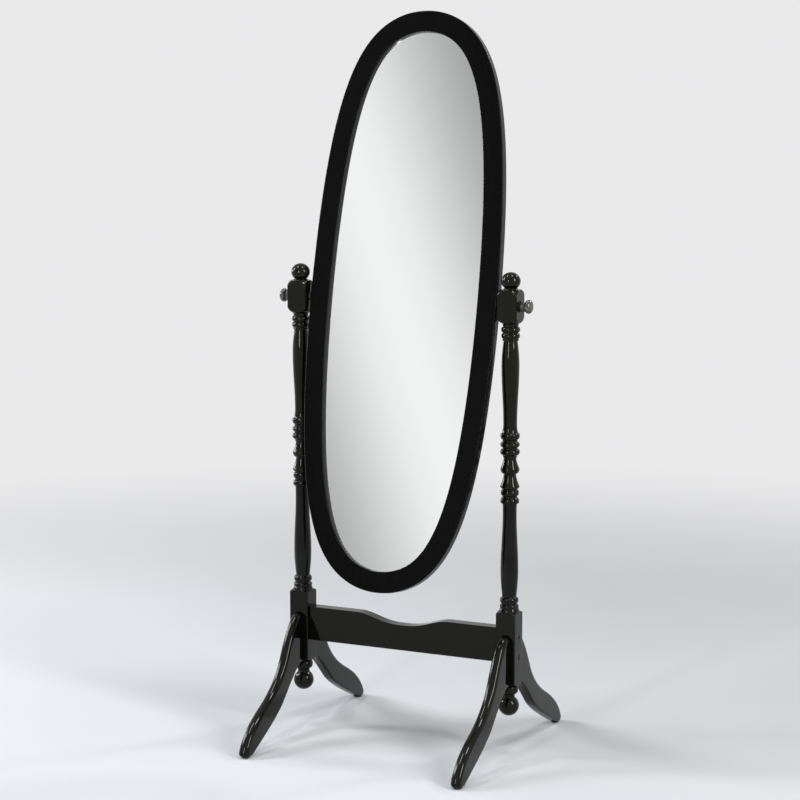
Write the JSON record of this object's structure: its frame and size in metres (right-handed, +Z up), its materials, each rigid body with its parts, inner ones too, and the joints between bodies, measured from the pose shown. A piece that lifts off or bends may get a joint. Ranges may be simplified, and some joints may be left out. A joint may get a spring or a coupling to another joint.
{
  "type": "tilting dressing mirror",
  "caption": "Free-standing oval dressing mirror that tilts between two turned posts on curved legs, joined by a shaped rail and clamped by lobed knobs.",
  "frame": {"origin": "centre of the footprint on the floor, midway between the two posts", "axes": "+X across the mirror to the viewer's right, -Y toward the viewer (the way the glass faces), +Z up"},
  "size_m": [0.562, 0.5392, 1.4953],
  "materials": {
    "lacquered_wood": "black satin lacquer on turned and shaped hardwood",
    "plain_wood": "unfinished beech",
    "brown_board": "smooth hard-pressed board",
    "mirror_glass": "polished silvered glass",
    "steel": "zinc-plated, slightly dull",
    "brass": "turned, unpolished",
    "black_nylon": "moulded, matt"
  },
  "bodies": {
    "stand": {"left_post": "lacquered_wood", "right_post": "lacquered_wood", "left_front_leg": "lacquered_wood", "left_back_leg": "lacquered_wood", "right_front_leg": "lacquered_wood", "right_back_leg": "lacquered_wood", "left_leg_dowels": "plain_wood", "right_leg_dowels": "plain_wood", "left_front_glide": "black_nylon", "left_back_glide": "black_nylon", "right_front_glide": "black_nylon", "right_back_glide": "black_nylon", "rail": "lacquered_wood", "left_rail_bolts": "steel", "right_rail_bolts": "steel", "left_barrel_nuts": "steel", "right_barrel_nuts": "steel"},
    "mirror": {"mirror_frame": "lacquered_wood", "mirror_glass": "mirror_glass", "back_panel": "brown_board", "panel_screws": "steel", "left_insert": "brass", "right_insert": "brass", "left_spacer": "black_nylon", "right_spacer": "black_nylon"},
    "left_washer": {"left_washer": "steel"},
    "right_washer": {"right_washer": "steel"},
    "left_knob": {"left_knob": "lacquered_wood", "left_stud": "steel"},
    "right_knob": {"right_knob": "lacquered_wood", "right_stud": "steel"}
  },
  "joints": [
    {"name": "mirror_tilt", "type": "hinge", "parent": "stand", "child": "mirror", "pos_m": [0, 0, 0.915], "axis": [1, 0, 0], "continuous": true},
    {"name": "left_washer_slide", "type": "slide", "parent": "mirror", "child": "left_washer", "axis": [-1, 0, 0], "range_m": [0, 0.00375]},
    {"name": "left_knob_turn", "type": "hinge", "parent": "left_washer", "child": "left_knob", "pos_m": [-0.2, 0, 0.915], "axis": [-1, 0, 0], "range_deg": [0, 1080]},
    {"name": "right_washer_slide", "type": "slide", "parent": "mirror", "child": "right_washer", "axis": [1, 0, 0], "range_m": [0, 0.00375]},
    {"name": "right_knob_turn", "type": "hinge", "parent": "right_washer", "child": "right_knob", "pos_m": [0.2, 0, 0.915], "axis": [1, 0, 0], "range_deg": [0, 1080]}
  ],
  "couplings": [
    {"joint": "left_knob_turn", "follows": "left_washer_slide", "rad_per_m": 5026.5},
    {"joint": "right_knob_turn", "follows": "right_washer_slide", "rad_per_m": 5026.5}
  ]
}
